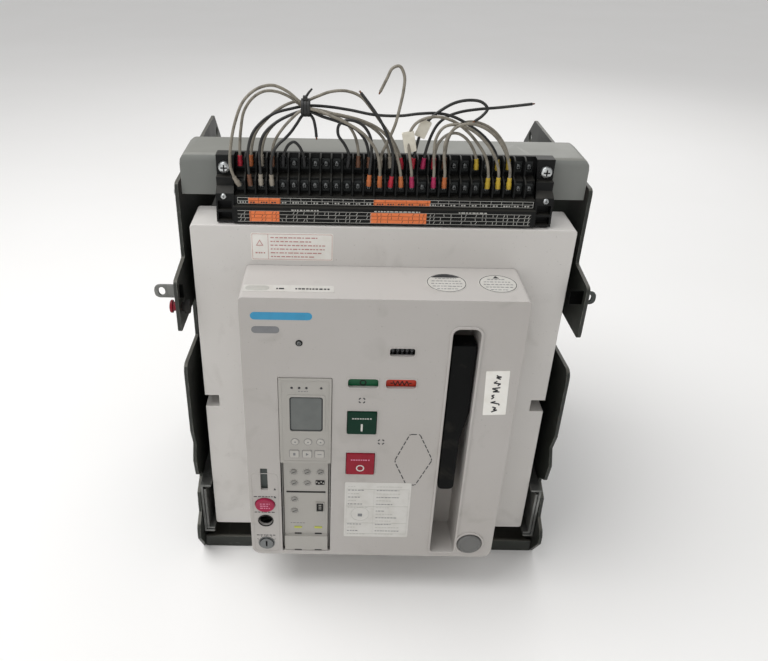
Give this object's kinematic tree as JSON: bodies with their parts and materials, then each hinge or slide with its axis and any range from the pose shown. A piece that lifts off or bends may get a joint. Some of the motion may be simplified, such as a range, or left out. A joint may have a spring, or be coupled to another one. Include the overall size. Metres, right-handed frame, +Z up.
{
  "type": "air circuit breaker",
  "caption": "Draw-out air circuit breaker in its cradle: front panel, control cover, trip relay, charging handle, rear terminals, control terminal block and cut wires.",
  "frame": {"origin": "centre of the underside of the cradle's base pan", "axes": "+X to the right as seen from the control side, +Y to the rear towards the main terminals, +Z up"},
  "size_m": [0.372, 0.376, 0.4808],
  "materials": {
    "black_steel": "satin, worn edges",
    "beam_paint": "satin",
    "galvanised": "zinc plated",
    "bright_steel": "zinc plated",
    "black_moulding": "matt moulded",
    "grey_plastic": "fine moulded texture",
    "relay_plastic": "matt",
    "plated_copper": "silver plated",
    "green_plastic": "gloss",
    "red_plastic": "gloss",
    "knob_grey": "matt",
    "dark_grey_plastic": "matt",
    "white_plastic": "matt",
    "arc_chute_board": "moulded composite",
    "shutter_board": "laminate board",
    "black_wire": "satin insulation",
    "grey_wire": "satin insulation"
  },
  "bodies": {
    "cradle": {"cradle_side_plate_left": "black_steel", "cradle_side_plate_right": "black_steel", "cradle_base_pan": "black_steel", "cradle_top_beam": "beam_paint", "rear_insulating_panel": "black_moulding", "main_terminal_upper_left": "plated_copper", "main_terminal_upper_middle": "plated_copper", "main_terminal_upper_right": "plated_copper", "main_terminal_lower_left": "plated_copper", "main_terminal_lower_middle": "plated_copper", "main_terminal_lower_right": "plated_copper", "control_terminal_block": "black_moulding", "fixed_rail_left": "galvanised", "fixed_rail_right": "galvanised", "wire_grey_outer_loop": "grey_wire", "wire_grey_inner_loop": "grey_wire", "wire_black_long_bridge": "black_wire", "wire_black_low_bundle": "black_wire", "wire_grey_high_arc": "grey_wire", "wire_black_cut_short": "black_wire", "wire_black_side_loop": "black_wire", "wire_black_small_hook": "black_wire", "wire_grey_tall_hook": "grey_wire", "wire_black_long_tail": "black_wire", "wire_black_hook": "black_wire", "wire_grey_right_arc": "grey_wire"},
    "padlock_tab_left": {"padlock_tab_left": "bright_steel"},
    "padlock_tab_right": {"padlock_tab_right": "bright_steel"},
    "lock_button": {"cradle_lock_button": "red_plastic"},
    "extension_rail_left": {"extension_rail_left": "galvanised"},
    "extension_rail_right": {"extension_rail_right": "galvanised"},
    "shutter_upper": {"shutter_upper": "shutter_board"},
    "shutter_lower": {"shutter_lower": "shutter_board"},
    "carriage": {"racking_carriage": "galvanised"},
    "breaker": {"breaker_case": "black_moulding", "front_panel": "grey_plastic", "control_cover": "grey_plastic", "arc_chute_left": "arc_chute_board", "arc_chute_middle": "arc_chute_board", "arc_chute_right": "arc_chute_board", "closing_spring": "bright_steel", "trip_relay": "relay_plastic", "support_runner_left": "bright_steel", "support_runner_right": "bright_steel"},
    "on_button": {"on_button": "green_plastic"},
    "off_button": {"off_button": "red_plastic"},
    "reset_button": {"reset_button": "red_plastic"},
    "charging_handle": {"charging_handle": "black_moulding"},
    "racking_handle": {"racking_handle": "knob_grey"},
    "on_off_flag": {"on_off_flag": "green_plastic"},
    "charge_flag": {"charge_flag": "red_plastic"},
    "counter_wheel": {"counter_wheel": "white_plastic"},
    "position_pointer": {"position_pointer": "dark_grey_plastic"},
    "key_lock": {"key_lock": "bright_steel"},
    "racking_screw": {"racking_screw": "bright_steel"},
    "main_shaft": {"main_shaft": "bright_steel", "moving_contact_left": "plated_copper", "moving_contact_middle": "plated_copper", "moving_contact_right": "plated_copper"},
    "spring_guide": {"spring_guide_rod": "bright_steel"}
  },
  "joints": [
    {"name": "rack", "type": "slide", "parent": "cradle", "child": "carriage", "axis": [0, -1, 0], "range_m": [0, 0.05]},
    {"name": "draw_out", "type": "slide", "parent": "carriage", "child": "breaker", "axis": [0, -1, 0], "range_m": [0, 0.25]},
    {"name": "rail_left_slide", "type": "slide", "parent": "cradle", "child": "extension_rail_left", "axis": [0, -1, 0], "range_m": [0, 0.25]},
    {"name": "rail_right_slide", "type": "slide", "parent": "cradle", "child": "extension_rail_right", "axis": [0, -1, 0], "range_m": [0, 0.25]},
    {"name": "shutter_upper_drop", "type": "slide", "parent": "cradle", "child": "shutter_upper", "axis": [0, 0, -1], "range_m": [0, 0.0401]},
    {"name": "shutter_lower_lift", "type": "slide", "parent": "cradle", "child": "shutter_lower", "axis": [0, 0, 1], "range_m": [0, 0.0401]},
    {"name": "padlock_tab_left_slide", "type": "slide", "parent": "cradle", "child": "padlock_tab_left", "axis": [1, 0, 0], "range_m": [0, 0.0075]},
    {"name": "padlock_tab_right_slide", "type": "slide", "parent": "cradle", "child": "padlock_tab_right", "axis": [1, 0, 0], "range_m": [0, 0.0075]},
    {"name": "lock_button_press", "type": "slide", "parent": "cradle", "child": "lock_button", "axis": [1, 0, 0], "range_m": [0, 0.004], "stiffness_N_per_m": 300, "springref_m": -0.002},
    {"name": "on_press", "type": "slide", "parent": "breaker", "child": "on_button", "axis": [0, 1, 0], "range_m": [0, 0.003], "stiffness_N_per_m": 400, "springref_m": -0.002},
    {"name": "off_press", "type": "slide", "parent": "breaker", "child": "off_button", "axis": [0, 1, 0], "range_m": [0, 0.003], "stiffness_N_per_m": 400, "springref_m": -0.002},
    {"name": "reset_press", "type": "slide", "parent": "breaker", "child": "reset_button", "axis": [0, 1, 0], "range_m": [0, 0.003], "stiffness_N_per_m": 400, "springref_m": -0.002},
    {"name": "charging_handle_pull", "type": "hinge", "parent": "breaker", "child": "charging_handle", "pos_m": [0.067, -0.172, 0.134], "axis": [1, 0, 0], "range_deg": [0, 85], "stiffness_Nm_per_rad": 0.2, "springref_deg": -45.84},
    {"name": "racking_handle_pull", "type": "slide", "parent": "breaker", "child": "racking_handle", "axis": [0, -1, 0], "range_m": [0, 0.06]},
    {"name": "contact_close", "type": "hinge", "parent": "breaker", "child": "main_shaft", "pos_m": [0, 0.01, 0.165], "axis": [-1, 0, 0], "range_deg": [0, 15], "stiffness_Nm_per_rad": 20, "springref_deg": -8.59},
    {"name": "on_off_flag_drop", "type": "slide", "parent": "breaker", "child": "on_off_flag", "axis": [0, 0, -1], "range_m": [0, 0.01]},
    {"name": "spring_release", "type": "slide", "parent": "breaker", "child": "spring_guide", "axis": [0, 0, 1], "range_m": [0, 0.02], "deforming": ["closing_spring"]},
    {"name": "charge_flag_drop", "type": "slide", "parent": "breaker", "child": "charge_flag", "axis": [0, 0, -1], "range_m": [0, 0.0101]},
    {"name": "counter_turn", "type": "hinge", "parent": "breaker", "child": "counter_wheel", "pos_m": [0.0165, -0.1784, 0.277], "axis": [1, 0, 0], "continuous": true},
    {"name": "position_pointer_lift", "type": "slide", "parent": "breaker", "child": "position_pointer", "axis": [0, 0, 1], "range_m": [0, 0.0081]},
    {"name": "key_turn", "type": "hinge", "parent": "breaker", "child": "key_lock", "pos_m": [-0.0998, -0.17, 0.0608], "axis": [0, 1, 0], "range_deg": [0, 90]},
    {"name": "racking_screw_turn", "type": "hinge", "parent": "breaker", "child": "racking_screw", "pos_m": [-0.0998, -0.1, 0.0894], "axis": [0, -1, 0], "range_deg": [0, 3605]}
  ],
  "couplings": [
    {"joint": "rail_left_slide", "follows": "draw_out", "ratio": 1},
    {"joint": "rail_right_slide", "follows": "draw_out", "ratio": 1},
    {"joint": "shutter_upper_drop", "follows": "rack", "ratio": 0.8},
    {"joint": "shutter_lower_lift", "follows": "rack", "ratio": 0.8},
    {"joint": "position_pointer_lift", "follows": "rack", "ratio": 0.16},
    {"joint": "racking_screw_turn", "follows": "rack", "rad_per_m": 1256.6},
    {"joint": "on_off_flag_drop", "follows": "contact_close", "m_per_rad": 0.0381},
    {"joint": "charge_flag_drop", "follows": "spring_release", "ratio": 0.5}
  ]
}
